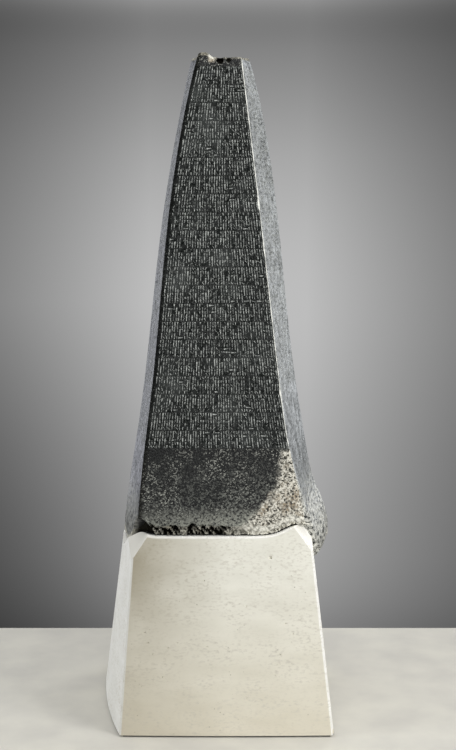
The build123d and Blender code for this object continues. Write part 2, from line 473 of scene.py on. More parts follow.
def jitter_grid(grid):
    """Shift the inner vertices of a grid along the surface, so no two cells are alike."""
    for row in range(1, len(grid) - 1):
        for column in range(1, len(grid[0]) - 1):
            across = places[grid[row][column + 1]] - places[grid[row][column]]
            up = places[grid[row + 1][column]] - places[grid[row][column]]
            here = places[grid[row][column]]
            here += across * rng.uniform(-JITTER, JITTER) + up * rng.uniform(-JITTER, JITTER)
            places[grid[row][column]] = here


def inscribed(side, level):
    """Whether a side has strokes at a level.  The right side's are weathered off low down."""
    return SIDE_NAMES[side] != "right" or level > RIGHT_INSCRIPTION_FOOT


def add_rule(lower, counts, level):
    """Rule a thin V groove above a ring, and return the ring along its top."""
    keel_level = level + RULE_WIDTH / 2
    keel = add_ring(counts, lambda side, share: on_side(
        keel_level, RULE_DEPTH if inscribed(side, level) else 0)(side, share), level)
    top = add_ring(counts, on_side(level + RULE_WIDTH), level)
    fill_rings(lower, keel, 4 * (POLISHED,))
    fill_rings(keel, top, 4 * (POLISHED,))
    return top


def add_band(lower, counts, level):
    """Add one band of strokes above a ring, and return the ring along its top."""
    rings = [lower]
    row_height = (band_height - RULE_WIDTH) / ROWS
    for row in range(1, ROWS + 1):
        row_level = level + row * row_height
        rings.append(add_ring(counts, on_side(row_level), row_level))
    for side in range(4):
        grid = [ring[side] for ring in rings]
        if not inscribed(side, level):
            for row in range(ROWS):
                for column in range(counts[side]):
                    chains = borders(grid, row, column, 1, 1)
                    add_face([chain[0] for chain in chains], POLISHED)
        else:
            jitter_grid(grid)
            carve_side(grid, PLAIN_MARGIN if SIDE_NAMES[side] == "front" else 0)
    for number in range(ROWS):
        fill_arrises(rings[number], rings[number + 1])
    return rings[-1]


counts = cell_counts(BAND_FOOT, CELL_WIDTH)
inscription_foot = add_ring(counts, on_side(BAND_FOOT), BAND_FOOT)
ring = inscription_foot
for band in range(BAND_COUNT):
    level = BAND_FOOT + band * band_height
    counts = cell_counts(level + band_height / 2, CELL_WIDTH)
    ring = add_rule(ring, counts, level)
    ring = add_band(ring, counts, level + RULE_WIDTH)
inscription_head = ring
print("bands", BAND_COUNT, "faces so far", len(faces))

# %% [markdown]
# ## Shaft: the plain foot and its broken edge
# Below the bands the stone was left plain, and its foot is broken right round.  Rows of
# vertices run down from the lowest band to the broken edge, wherever that edge stands on each
# side.  The last rows are much closer, and noise knocks them back.  A Boolean with a rough lump
# would be quicker, but it can't follow an edge that climbs and falls as this one does.

# %% Foot
PLAIN_ROWS = 16
BREAK_ROWS = 18
BREAK_CELLS = (3.2 * MM, 4.6 * MM, 6.0 * MM, 4.2 * MM)      # front, right, back, left
BREAK_HEIGHT = 46 * MM
FRESH_FROM = 0.55            # the share of the broken rows below which the break is bare stone
FOOT_WHOLE, FOOT_SEARCH = 0.62, 0.40        # levels where every side is whole, and where none is
PLAIN_FINISHES = (PECKED, POLISHED, PECKED, POLISHED)
LOW_FINISHES = (BROKEN, POLISHED, BROKEN, BROKEN)
FLUTE_WIDTH, FLUTE_LENGTH = 6 * MM, 17 * MM


def fade(value, gone, full):
    """Run smoothly from 0, where the value is at gone, to 1, where it is at full."""
    share = min(max((value - gone) / (full - gone), 0), 1)
    return share * share * (3 - 2 * share)


def roughness(place, size, seed):
    """Soft noise from 0 to 1 whose lumps are about this large."""
    return 0.5 + 0.5 * noise.fractal(place / size + Vector((seed, seed, seed)), 0.9, 2.1, 3)


def flutes(place):
    """Slanting flutes from 0 to 1, as a heavy blow leaves them along a broken edge."""
    slant = place.x + 0.5 * place.z
    return 0.5 + 0.8 * noise.noise(
        Vector((slant / FLUTE_WIDTH, place.y / FLUTE_WIDTH, place.z / FLUTE_LENGTH)))


print("halfway from 2 to 6 a fade is at", fade(4, 2, 6))

# %% [markdown]
# ## Shaft: how the foot is shaped
# Four things shape the foot.  Blows along its edge left slanting teeth, deepest at the front's
# left.  The front left corner has fallen away, which leaves a hollow.  The front right corner is
# worn round.  The right side bulges beside the plinth and curves back in below, close to the
# plinth's face.  Each is a small function that says how far in a vertex lies, so that each can
# be tuned without the others.

# %% How far the foot is broken in
LUMP_SIZE, GRAIN_SIZE, GRAIN_DEPTH = 22 * MM, 6 * MM, 3.0 * MM
SPALL_DEPTH, SPALL_BLUR = 2 * MM, 9 * MM
SPALL_HEIGHT, LEFT_HIGHER, RAGGED = 11, 17, 20      # millimetres, of the line above the teeth
TOOTH_DEPTH, LEFT_DEEPER = 7, 12                    # millimetres
LEFT_PART = (0.65, 0.40)     # shares across the front where its left part begins and is full
HOLLOW_HEIGHT, HOLLOW_DEPTH = 40 * MM, 28 * MM
HOLLOW_REACH = {"front": 42 * MM, "left": 210 * MM}


def break_back(side, share, place, height):
    """How far the stone is knocked back at a height above its broken edge: a little by its
    grain, and below a ragged line by teeth."""
    leftness = fade(share, *LEFT_PART) if SIDE_NAMES[side] == "front" else 0.3
    ragged = RAGGED * (roughness(place, LUMP_SIZE, 5.0) - 0.5)
    spall_height = (SPALL_HEIGHT + LEFT_HIGHER * leftness + ragged) * MM
    spalled = fade(height, spall_height, spall_height - SPALL_BLUR)
    teeth = (TOOTH_DEPTH + LEFT_DEEPER * leftness) * MM * fade(flutes(place), 0.60, 0.30)
    grain = (roughness(place, GRAIN_SIZE, 2.0) - 0.4) * GRAIN_DEPTH * fade(height, BREAK_HEIGHT, 0)
    return max(grain, 0) + spalled * (SPALL_DEPTH + teeth)


def hollow(side, share, height):
    """The hollow under the front left corner, from 0 outside it to 1 inside."""
    name = SIDE_NAMES[side]
    if name not in HOLLOW_REACH:
        return 0
    from_corner = (share if name == "front" else 1 - share) * side_width(side, BAND_FOOT)
    away = (from_corner / HOLLOW_REACH[name]) ** 1.4 + (height / HOLLOW_HEIGHT) ** 1.4
    return fade(away, 1, 0.78)


print("the hollow reaches in by", HOLLOW_DEPTH)

# %% Round front right corner
CORNER_RADIUS = 34 * MM
CORNER_HEAD, CORNER_FULL = 0.74, 0.60        # levels where the rounding begins and is full
DRAWN_BACK = 0.29            # how far along a side a round corner's middle lies, over its radius


def corner_radius(level):
    return CORNER_RADIUS * fade(level, CORNER_HEAD, CORNER_FULL)


def from_right_corner(side, share, level):
    """How far a place on the front or the right side stands from the corner between them."""
    width = side_width(side, level)
    return {"front": (1 - share) * width, "right": share * width}.get(SIDE_NAMES[side], 1)


def rounded_share(side, share, level):
    """Draw the two rows back from the corner, to where a round corner would pass between."""
    radius = corner_radius(level)
    nearness = max(1 - from_right_corner(side, share, level) / (3 * radius + MM), 0)
    back = DRAWN_BACK * radius * nearness / side_width(side, level)
    return share + {"front": -back, "right": back}.get(SIDE_NAMES[side], 0)


def rounding(side, share, level):
    """How far in a round corner lies, at a place on one of its two sides."""
    radius = corner_radius(level)
    beyond = max(radius - from_right_corner(side, share, level), 0)
    return radius - (radius ** 2 - beyond ** 2) ** 0.5


print("corner radius at the foot", corner_radius(CORNER_FULL))

# %% Belly beside the plinth
BELLY_HEIGHT = 62 * MM
BELLY_GAP = 5 * MM           # how close to the plinth's face it curves in
plinth_mesh = bmesh.new()
plinth_mesh.from_mesh(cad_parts["plinth_block"].data)
plinth_surface = BVHTree.FromBMesh(plinth_mesh)
plinth_mesh.free()


def belly(side, place, level, foot):
    """How far the right side curves in below itself, towards the face of the plinth."""
    rise = (level - foot) / BELLY_HEIGHT
    if SIDE_NAMES[side] != "right" or rise >= 1:
        return 0
    face = plinth_surface.ray_cast(Vector((1, place.y, foot - 2 * MM)), Vector((-1, 0, 0)))[0]
    room = min(max(place.x - face.x - BELLY_GAP, 0), BELLY_HEIGHT)
    return room * (1 - (1 - (1 - rise) ** 2) ** 0.5)


print("the belly starts", BELLY_HEIGHT, "above the stone's edge")

# %% Places on the foot
CORNER_NEAR = 30 * MM        # this near the left corner a vertex moves in across both sides
FULL_DEPTH = 18 * MM         # a vertex this deep gets the full painted shade
OPEN_FROM = 0.21             # right of this the stone is open to the light, and no shade is painted
LIFT = 13 * MM               # how much more the right side has lost than the CAD edge shows


def broken_place(side, share, level, foot):
    """The place of one vertex of the foot, and the painted shade its depth gives, from 0 to 1."""
    moved = rounded_share(side, share, level)
    place = touch(side, moved, level)
    if place:
        share = moved
    else:
        place = touch(side, share, level)
    inwards = -outward(side, level)
    depth = break_back(side, share, place, level - foot)
    hole = hollow(side, share, level - foot)
    if hole:
        other = SIDE_NAMES.index("left" if SIDE_NAMES[side] == "front" else "front")
        nearness = max(1 - (place - arris_at(0, level)).length / CORNER_NEAR, 0)
        inwards = (inwards - nearness * outward(other, level)).normalized()
        depth = max(depth, hole * HOLLOW_DEPTH)
    curve = belly(side, place, level, foot) + rounding(side, share, level)
    place = place + inwards * (depth + curve)
    return place, min(depth / FULL_DEPTH, 1) * fade(place.x, OPEN_FROM, OPEN_FROM - 30 * MM)


def shaped_ring(side_shares, side_ends, place_of):
    """Add a ring whose vertices each know the level where their side ends.  From it,
    place_of(side, share, end) gives a vertex's place and the painted shade that it gets."""
    ring = []
    for side in range(4):
        row = []
        for share, end in zip(side_shares[side], side_ends[side]):
            place, depth = place_of(side, share, end)
            row.append(add_place(place))
            sunk[row[-1]] = depth
        ring.append(row)
    return ring


def lift(side, share):
    """How much higher than the CAD edge the right side ends, most at the middle of its break."""
    return LIFT * fade(abs(share - 0.42), 0.36, 0) if SIDE_NAMES[side] == "right" else 0


def foot_levels(side_shares):
    """The level where each side ends, at each of its shares."""
    return [[end_level(side, share, FOOT_WHOLE, FOOT_SEARCH) + lift(side, share)
             for share in side_shares[side]] for side in range(4)]


print("the right side ends higher by", round(lift(1, 0.42), 3))

# %% Plain rows
plain_counts = cell_counts(BAND_FOOT, CELL_WIDTH)
plain_shares = [shares(side, BAND_FOOT, plain_counts[side]) for side in range(4)]
plain_feet = foot_levels(plain_shares)
above = inscription_foot
for row in range(1, PLAIN_ROWS):
    ring = shaped_ring(plain_shares, plain_feet, lambda side, share, foot: broken_place(
        side, share, BAND_FOOT + (foot + BREAK_HEIGHT - BAND_FOOT) * row / PLAIN_ROWS, foot))
    fill_rings(ring, above, PLAIN_FINISHES, PECKED)
    above = ring
print("plain foot, faces so far", len(faces))

# %% Broken rows
break_counts = [round(side_width(side, BAND_FOOT) / BREAK_CELLS[side]) for side in range(4)]
break_shares = [shares(side, BAND_FOOT, break_counts[side]) for side in range(4)]
break_feet = foot_levels(break_shares)
for row in range(BREAK_ROWS + 1):
    ring = shaped_ring(break_shares, break_feet, lambda side, share, foot: broken_place(
        side, share, foot + BREAK_HEIGHT * (1 - row / BREAK_ROWS), foot))
    fresh = row > FRESH_FROM * BREAK_ROWS
    fill_rings(ring, above, LOW_FINISHES if fresh else PLAIN_FINISHES, BROKEN if fresh else PECKED)
    above = ring
broken_edge = above
print("broken edge from", round(min(min(row) for row in break_feet), 3),
      "to", round(max(max(row) for row in break_feet), 3))

# %% [markdown]
# ## Shaft: the underside
# An open mesh would have no inside, so both ends are closed with rings that shrink to a point.
# Each vertex is dropped on the CAD surface and roughened.  The underside only shows as a dark
# gap, so its faces need no shape of their own, and painted shade keeps it dark.

# %% Ends
END_RINGS = 9
END_CLOSING = 1.25           # above 1 the rings lie closer near the edge
UNDERSIDE_SHADE = 2           # more than full painted shade, so that the underside is dark right from the edge


def end_cap(edge, looking, rough):
    """Close an end with shrinking rings.  looking is -1 to lay them on the underside, 1 on the
    tip; rough is how deep its lumps are."""
    loop = [vertex for row in edge for vertex in row]
    centre = sum((places[vertex] for vertex in loop), Vector()) / len(loop)
    outer = loop
    for number in range(1, END_RINGS):
        shrink = 1 - (number / END_RINGS) ** END_CLOSING
        inner = []
        for vertex in loop:
            place = centre.lerp(places[vertex], shrink)
            start = Vector((place.x, place.y, centre.z + looking * 0.5))
            hit = shaft_surface.ray_cast(start, Vector((0, 0, -looking)), 1.0)[0]
            level = hit.z if hit else place.z
            lump = rough * roughness(place, 14 * MM, 8.0)
            inner.append(add_place(Vector((place.x, place.y, level - looking * lump))))
            sunk[inner[-1]] = UNDERSIDE_SHADE if looking < 0 else 0
        for step in range(len(loop)):
            after = (step + 1) % len(loop)
            quad = (outer[step], outer[after], inner[after], inner[step])
            add_face(quad[::looking], BROKEN)
        outer = inner
    middle = add_place(sum((places[vertex] for vertex in outer), Vector()) / len(outer))
    for step in range(len(loop)):
        add_face((outer[step], outer[(step + 1) % len(loop)], middle)[::looking], BROKEN)


end_cap(broken_edge, -1, 3.0 * MM)
print("underside closed, faces so far", len(faces))

# %% [markdown]
# ## Shaft: the broken tip
# The top of the shaft is lost.  Its last break is rough, and the front edge has two worn holes,
# where a dowel may once have held a mend.  The rows of the tip are as close as those of the
# broken foot, so that the same kind of function can press the holes and chips into them.

# %% Tip
TIP_ROWS = 9
TIP_CELL = 2.6 * MM
TIP_FINISHES = (PECKED, POLISHED, POLISHED, POLISHED)
TIP_FOOT, TIP_SEARCH = BAND_HEAD + 1 * MM, 1.85
TIP_HOLES = (                # x and z in metres, then a radius and a depth in millimetres
    (0.0185, 1.8160, 10.5, 14), (0.0415, 1.8165, 7.0, 9),
)
TIP_CHIP_DEPTH, TIP_CHIP_SIZE = 3.0 * MM, 7 * MM
tip_counts = cell_counts(BAND_HEAD, TIP_CELL)
tip_shares = [shares(side, BAND_HEAD, tip_counts[side]) for side in range(4)]
tip_levels = [
    [end_level(side, share, BAND_HEAD, TIP_SEARCH) for share in tip_shares[side]] for side in range(4)
]


def tip_hole(side, place):
    """How deep a vertex of the front lies in one of the two broken dowel holes."""
    depth = 0
    for x, level, radius, deep in TIP_HOLES:
        away = ((place.x - x) ** 2 + (place.z - level) ** 2) ** 0.5 / (radius * MM)
        depth = max(depth, deep * MM * fade(away, 1.15, 0.70))
    return depth if SIDE_NAMES[side] == "front" else 0


def tip_place(side, share, top, rise):
    """The place of one vertex of the tip, pressed into a hole or a chip, and its painted shade deep
    in a hole.
    """
    level = TIP_FOOT + (top - TIP_FOOT) * rise
    place = touch(side, share, level)
    chip = TIP_CHIP_DEPTH * roughness(place, TIP_CHIP_SIZE, 4.0) * fade(rise, 0.5, 1)
    depth = max(chip, tip_hole(side, place))
    return place - outward(side, level) * depth, min(max(depth - TIP_CHIP_DEPTH, 0) / (6 * MM), 1)


below = inscription_head
for row in range(TIP_ROWS + 1):
    ring = shaped_ring(tip_shares, tip_levels, lambda side, share, top: tip_place(
        side, share, top, row / TIP_ROWS))
    fill_rings(below, ring, TIP_FINISHES if row < TIP_ROWS - 1 else 4 * (BROKEN,))
    below = ring
end_cap(below, 1, 2.0 * MM)
print("shaft vertices", len(places), "faces", len(faces))

# %% [markdown]
# ## Shaft: pale and dark places
# The stone isn't the same all over.  Its front right corner and the foot of its sides have lost
# their dark skin, and the tip has a fresh chip.  Low on the right the pale also paints light on a
# wall that stands in the plinth's shade.  Painted shade darkens the hollows, and the front's left
# edge and a bare stretch of the right side are darker.  These places follow the stone's shape and
# not a pattern, so each vertex carries two numbers, a paleness and a painted shade with dullness,
# and the finishes read them as attributes.

# %% Pale places
PALE_EDGE = (                # z and x of the left edge of the pale corner
    (0.56, 0.079), (0.61, 0.120), (0.638, 0.152), (0.665, 0.168), (0.70, 0.178), (0.775, 0.185),
)
PALE_TOP = 0.778
FRONT_REACH = -0.175         # how far back the pale corner reaches
SIDE_FADE = 6 * MM
WEATHERED_RIGHT, WEATHERED_LEFT = (0.70, 0.56), (0.69, 0.57)    # levels where it begins, is full
# Low on the right the stone is pale all round: partly its real pale foot, partly painted light on the
# wall that faces the plinth and stands in its shade.
LOW_RIGHT, LOW_RIGHT_TOP = 0.225, 0.60      # right of and below these the stone is pale all round
TIP_CHIP_X, TIP_CHIP_BACK = -4 * MM, -0.07
TIP_CHIP_LEVELS = (1.807, 1.814)


def on_right(place):
    """Whether a place lies right of the front right arris, from 0 at it to 1 past it.  That is
    the right side, and on the wider back the strip beyond the front's width as well."""
    return fade(place.x - arris_at(1, place.z).x, 0, SIDE_FADE)


def on_left(place):
    """The same, left of the front left arris."""
    return fade(arris_at(0, place.z).x - place.x, 0, SIDE_FADE)


def pale_edge(level):
    """How far to the right the pale corner begins at a level."""
    for (low, start), (high, end) in zip(PALE_EDGE, PALE_EDGE[1:]):
        if level < high:
            return start + (end - start) * (level - low) / (high - low)
    return PALE_EDGE[-1][1]


def paleness(place):
    """How pale the stone is, from 0 to 1: the front right corner, the weathered foot of the
    right and left sides, the pale foot low on the right, partly painted light on a wall in the
    plinth's shade, and a fresh chip on the front of the tip."""
    if place.z > TIP_FOOT:
        chip = fade(abs(place.x - TIP_CHIP_X), 13.5 * MM, 4.5 * MM) * (place.y < TIP_CHIP_BACK)
        return chip * fade(place.z, *TIP_CHIP_LEVELS)
    # The corner's left edge is ragged, and it blurs more and more towards the foot.
    blur = (32 + 280 * max(0.67 - place.z, 0)) * MM
    edge = pale_edge(place.z) + 14 * MM * noise.noise(place / (16 * MM))
    corner = fade(place.x, edge - blur / 2, edge + blur / 2)
    corner *= fade(place.z, PALE_TOP, PALE_TOP - 8 * MM)
    corner *= fade(place.y, FRONT_REACH, FRONT_REACH - 30 * MM)
    right = on_right(place) * (0.12 + 0.88 * fade(place.z, *WEATHERED_RIGHT))
    # Low right: real pale stone, plus painted light on the wall in the plinth's shade.
    pale_and_lit_low_right = fade(place.x, LOW_RIGHT, LOW_RIGHT + 10 * MM) * (place.z < LOW_RIGHT_TOP)
    pale_and_lit_low_right *= fade(place.y, 0.10, 0.05)
    left = 0.5 * on_left(place) * fade(place.z, *WEATHERED_LEFT)
    return max(corner, right, pale_and_lit_low_right, left)


pale_values = [paleness(place) for place in places]
print("pale vertices", sum(value > 0.5 for value in pale_values))

# %% Dark places
MARGIN = 13 * MM             # the dark edge of the front, from its left arris
DARK_HEAD = (1.18, 0.98)     # levels where the right side starts to darken downwards, and is dark
DARK_FOOT = (0.66, 0.75)     # and, upwards, where its weathered foot ends


def dullness(number, place):
    """How dark and dull the stone is: painted shade where it is broken in, and darker stone along
    the front's left edge and on the right side below the weathered strokes."""
    corner = arris_at(0, place.z)
    margin = fade(place.x - corner.x, MARGIN, 5 * MM)
    margin *= place.y - corner.y < 3 * MM and place.x > corner.x - 3 * MM
    bare = 0.6 * fade(place.z, *DARK_HEAD)
    bare += 0.4 * fade(place.z, RIGHT_INSCRIPTION_FOOT + 0.02, RIGHT_INSCRIPTION_FOOT - 0.02)
    bare *= on_right(place) * fade(place.z, *DARK_FOOT)
    return max(float(sunk.get(number, 0)), 0.8 * margin, 0.5 * bare)


shade_and_dullness_values = [dullness(number, place) for number, place in enumerate(places)]
print("dark vertices", sum(value > 0.5 for value in shade_and_dullness_values))

# %% Make the shaft mesh
def report_mesh(piece):
    """Print whether a mesh is closed and turned one way, and how large it is."""
    check = bmesh.new()
    check.from_mesh(piece.data)
    print(piece.name, "open edges", sum(len(edge.link_faces) != 2 for edge in check.edges),
          "flipped", sum(not edge.is_contiguous for edge in check.edges),
          "triangles", sum(len(face.verts) - 2 for face in check.faces),
          "volume", round(check.calc_volume(signed=True), 4))
    check.free()


shaft_mesh = bpy.data.meshes.new("carved_shaft")
shaft_mesh.from_pydata(places, [], faces)
shaft_mesh.polygons.foreach_set("material_index", finishes)
for name, values in (("pale", pale_values), ("sunk", shade_and_dullness_values)):
    shaft_mesh.attributes.new(name, "FLOAT", "POINT").data.foreach_set("value", values)
shaft_mesh.update()
shaft = bpy.data.objects.new("carved_shaft", shaft_mesh)
bpy.context.scene.collection.objects.link(shaft)
report_mesh(shaft)
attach(shaft, "root")
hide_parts("obelisk_shaft")

# %% [markdown]
# ## Patterns for stone
# Stone is a mixture, so every finish here is one colour painted over another through masks: soft
# clouds, round dots and separate bright grains.  Each mask is asked for by its real size in
# metres.  A picture of stone would show its repeats on a piece this tall, and these don't.


# %% Patterns and paint
def cloud(tree, place, size, low, high, detail=2.0, squash=(1, 1, 1)):
    """A mask from 0 to 1 of soft patches of about this size.  detail is how many finer layers
    they have, and squash makes them flatter along an axis by that factor."""
    squashed = add_node(tree, "ShaderNodeMapping", {"Vector": place, "Scale": squash})
    patches = add_node(tree, "ShaderNodeTexNoise", {
        "Vector": squashed.outputs[0], "Scale": 1 / size, "Detail": detail})
    return add_node(tree, "ShaderNodeMapRange", {
        "Value": patches.outputs[0], "From Min": low, "From Max": high}).outputs[0]


def dots(tree, place, size, full, gone):
    """A mask of round dots, one in each cell of this size."""
    cells = add_node(tree, "ShaderNodeTexVoronoi", {"Vector": place, "Scale": 1 / size})
    return add_node(tree, "ShaderNodeMapRange", {
        "Value": cells.outputs["Distance"], "From Min": gone, "From Max": full}).outputs[0]


def bright_grains(tree, place, size, share):
    """A mask of separate grains of this size, where about this share of them is bright."""
    cells = add_node(tree, "ShaderNodeTexVoronoi", {"Vector": place, "Scale": 1 / size})
    chance = add_node(tree, "ShaderNodeSeparateColor", {0: cells.outputs["Color"]}).outputs[0]
    return add_node(tree, "ShaderNodeMapRange", {
        "Value": chance, "From Min": 1 - share, "From Max": 1 - share / 3}).outputs[0]


def paint(tree, under, over, *masks):
    """Paint one colour over another, wherever all of the masks are full."""
    mask = masks[0]
    for other in masks[1:]:
        mask = add_node(tree, "ShaderNodeMath", {0: mask, 1: other}, operation="MULTIPLY").outputs[0]
    return add_node(tree, "ShaderNodeMix", {0: mask, 6: under, 7: over}, data_type="RGBA").outputs[2]


# %% Stone shader
FULL_GLOSS, NO_GLOSS = 0.5, 0.03        # Specular IOR Level of open stone, and of dull stone


def finish_stone(tree, colour, roughness, relief, depth, ior, dull=None):
    """Join colour, roughness and relief to a shader.  depth is the relief's real depth in metres,
    and where the mask dull is full the gloss is gone, as in a rough place or in painted shade."""
    bump = add_node(tree, "ShaderNodeBump", {"Height": relief, "Strength": 1.0, "Distance": depth})
    shader = add_node(tree, "ShaderNodeBsdfPrincipled", {
        "Base Color": colour, "Roughness": roughness, "IOR": ior, "Normal": bump.outputs[0]})
    if dull is not None:
        gloss = add_node(tree, "ShaderNodeMapRange", {
            "Value": dull, "To Min": FULL_GLOSS, "To Max": NO_GLOSS})
        tree.links.new(gloss.outputs[0], shader.inputs["Specular IOR Level"])
    add_node(tree, "ShaderNodeOutputMaterial", {"Surface": shader.outputs[0]})


# %% [markdown]
# ## Diorite
# Diorite is a dark, hard, grainy stone: near-black hornblende with paler feldspar between.  It
# was rubbed smooth with sand, which leaves a dull polish that mirrors light at a low angle.  A
# fresh chisel cut is crushed and dusty, so it is much paler.  Pecked and broken faces scatter
# the light, and show the feldspar as pale dots.  Each way of working the stone is a material of
# its own, and each face of the mesh already has the number of the one it wears.

# %% Rubbed diorite
# Sand and water leave it dark and smooth, so the eye gets a soft mirror with a grey mottle of
# feldspar in it, in grains of 3.5 mm and dots up to 5 mm wide.  Where it is pale the dark skin
# has gone in patches.  Those patches are drawn four times longer from front to back than they
# are high, because at their true size they would not show on the side faces, which are seen at
# a low angle.
DIORITE_IOR = 1.62           # hornblende and feldspar together
DRAWN_OUT = (1, 0.25, 1)
rubbed, tree, place = new_material("rubbed_diorite")
pale = add_node(tree, "ShaderNodeAttribute", attribute_name="pale").outputs["Fac"]
shade_and_dullness_in = add_node(tree, "ShaderNodeAttribute", attribute_name="sunk").outputs["Fac"]
grain = cloud(tree, place, 3.5 * MM, 0.40, 0.66)
colour = paint(tree, "#0F1110", "#2C2F2D", grain)
colour = paint(tree, colour, "#6B6E69", dots(tree, place, 9 * MM, 0.10, 0.26))
colour = paint(tree, colour, "#414442", cloud(tree, place, 90 * MM, 0.50, 0.85))
bare_stone = paint(tree, "#A2A29A", "#EEEDE4", grain)
patches = cloud(tree, place, 9 * MM, 0.34, 0.58, squash=DRAWN_OUT)
colour = paint(tree, colour, bare_stone, pale, patches)
# Painted shade: near-black where the stone is broken in, whose gloss goes too; the front's left edge
# and a bare stretch of the right side darken here as well.
colour = paint(tree, colour, "#0A0A09", shade_and_dullness_in)
rubbed_rough = add_node(tree, "ShaderNodeMapRange", {
    "Value": cloud(tree, place, 40 * MM, 0.3, 0.7), "To Min": 0.24, "To Max": 0.42}).outputs[0]
speckled = paint(tree, cloud(tree, place, 8 * MM, 0.44, 0.58, squash=DRAWN_OUT), "#FFFFFF", shade_and_dullness_in)
finish_stone(tree, colour, rubbed_rough, grain, 0.12 * MM, DIORITE_IOR, speckled)

# %% Chisel cuts
# The chisel crushes the crystals it meets to a pale dust, so a cut is light grey and quite dull.
# The dust is drawn in clumps of 1.5 mm, because the dust itself is too fine to show.
cut, tree, place = new_material("chiselled_diorite")
colour = paint(tree, "#4D504E", "#B1B4AF", cloud(tree, place, 7 * MM, 0.38, 0.62))
finish_stone(tree, colour, 0.85, cloud(tree, place, 1.5 * MM, 0.3, 0.7), 0.2 * MM, DIORITE_IOR)

# %% Worn arris with a painted highlight
# The thin bright line along the worn front right arris is a painted highlight, where the rounded
# edge catches the light from the right.
worn, tree, place = new_material("worn_diorite")
colour = paint(tree, "#8F918C", "#DCDCD4", cloud(tree, place, 16 * MM, 0.35, 0.60))
finish_stone(tree, colour, 0.6, cloud(tree, place, 4 * MM, 0.3, 0.7), 0.4 * MM, DIORITE_IOR)

# %% Pecked diorite
# Struck all over with a pebble and left, so the eye gets a rough black with crystals of feldspar
# about 3 mm wide in it.  Towards the foot and the right, weather has laid more of them bare.
PECKED_IOR = 1.5             # a bruised surface mirrors less than the stone itself does
BARE_FELDSPAR = (            # levels where it begins and is full, grain in mm, share and colour
    (0.76, 0.60, 3.8, 0.40, "#6F716A"), (0.62, 0.57, 4.4, 0.95, "#A0A195"),
)
pecked, tree, place = new_material("pecked_diorite")
along, _, height = add_node(tree, "ShaderNodeSeparateXYZ", {0: place}).outputs
rightwards = add_node(tree, "ShaderNodeMapRange", {
    "Value": along, "From Min": -0.22, "From Max": 0.10, "To Min": 0.4}).outputs[0]
grain = cloud(tree, place, 3.0 * MM, 0.40, 0.60)
colour = paint(tree, "#080909", "#191B1A", grain)
colour = paint(tree, colour, "#97988F", bright_grains(tree, place, 3.0 * MM, 0.22),
               cloud(tree, place, 60 * MM, 0.35, 0.65))
for begun, full, size, share, shade in BARE_FELDSPAR:
    lower = add_node(tree, "ShaderNodeMapRange", {
        "Value": height, "From Min": begun, "From Max": full}).outputs[0]
    bright = bright_grains(tree, place, size * MM, share)
    colour = paint(tree, colour, shade, lower, rightwards, bright)

# %% Pale corner of the pecked face
# The front right corner has lost its dark skin, with a ragged edge.  Below the skin the stone is
# cream, browned in patches, with dark crystals about 4.5 mm wide.
pale = add_node(tree, "ShaderNodeAttribute", attribute_name="pale").outputs["Fac"]
shade_and_dullness_in = add_node(tree, "ShaderNodeAttribute", attribute_name="sunk").outputs["Fac"]
patches = cloud(tree, place, 14 * MM, 0.25, 0.75, 5.0)
ragged = add_node(tree, "ShaderNodeMath", {0: pale, 1: patches, 2: pale}, operation="MULTIPLY_ADD")
corner = add_node(tree, "ShaderNodeMapRange", {
    "Value": ragged.outputs[0], "From Min": 0.25, "From Max": 1.15}).outputs[0]
below_skin = paint(tree, "#716D60", "#E6E2D4", cloud(tree, place, 5 * MM, 0.38, 0.58, 4.0))
below_skin = paint(tree, below_skin, "#9C8D76", cloud(tree, place, 40 * MM, 0.54, 0.70),
                   cloud(tree, place, 6 * MM, 0.35, 0.60))
below_skin = paint(tree, below_skin, "#3A382F", bright_grains(tree, place, 4.5 * MM, 0.30))
colour = paint(tree, colour, below_skin, corner)
# Painted shade: near-black in the hollows, whose gloss goes too.
colour = paint(tree, colour, "#12110C", shade_and_dullness_in)
finish_stone(tree, colour, 0.62, grain, 0.8 * MM, PECKED_IOR, shade_and_dullness_in)

# %% Broken diorite
# A fresh break runs round the crystals, so it is the roughest part and shows the stone's own
# grey-brown.  Its notches and the underside get a painted shade of near-black.
broken, tree, place = new_material("broken_diorite")
pale = add_node(tree, "ShaderNodeAttribute", attribute_name="pale").outputs["Fac"]
shade_and_dullness_in = add_node(tree, "ShaderNodeAttribute", attribute_name="sunk").outputs["Fac"]
grain = cloud(tree, place, 6 * MM, 0.40, 0.58, 4.0)
colour = paint(tree, "#47453E", "#A19E91", grain)
colour = paint(tree, colour, "#7F7A6B", cloud(tree, place, 35 * MM, 0.50, 0.66))
# The pale also paints light on the low right wall that stands in the plinth's shade.
colour = paint(tree, colour, "#E6E3D6", pale, cloud(tree, place, 10 * MM, 0.30, 0.55))
# Painted shade: near-black in the notches and on the underside.
shaded = add_node(tree, "ShaderNodeMapRange", {
    "Value": shade_and_dullness_in, "From Min": 0.25, "From Max": 0.90}).outputs[0]
colour = paint(tree, colour, "#1A1812", shaded)
finish_stone(tree, colour, 0.9, grain, 1.6 * MM, DIORITE_IOR, shade_and_dullness_in)


# %% Finish the shaft
def select_only(piece):
    """Deselect everything else, because an operator acts on all that is selected."""
    bpy.ops.object.select_all(action="DESELECT")
    piece.select_set(True)
    bpy.context.view_layer.objects.active = piece


for material in (rubbed, cut, worn, pecked, broken):
    shaft.data.materials.append(material)
select_only(shaft)
bpy.ops.object.shade_smooth_by_angle(angle=radians(24))
print("shaft finishes", [material.name for material in shaft.data.materials])

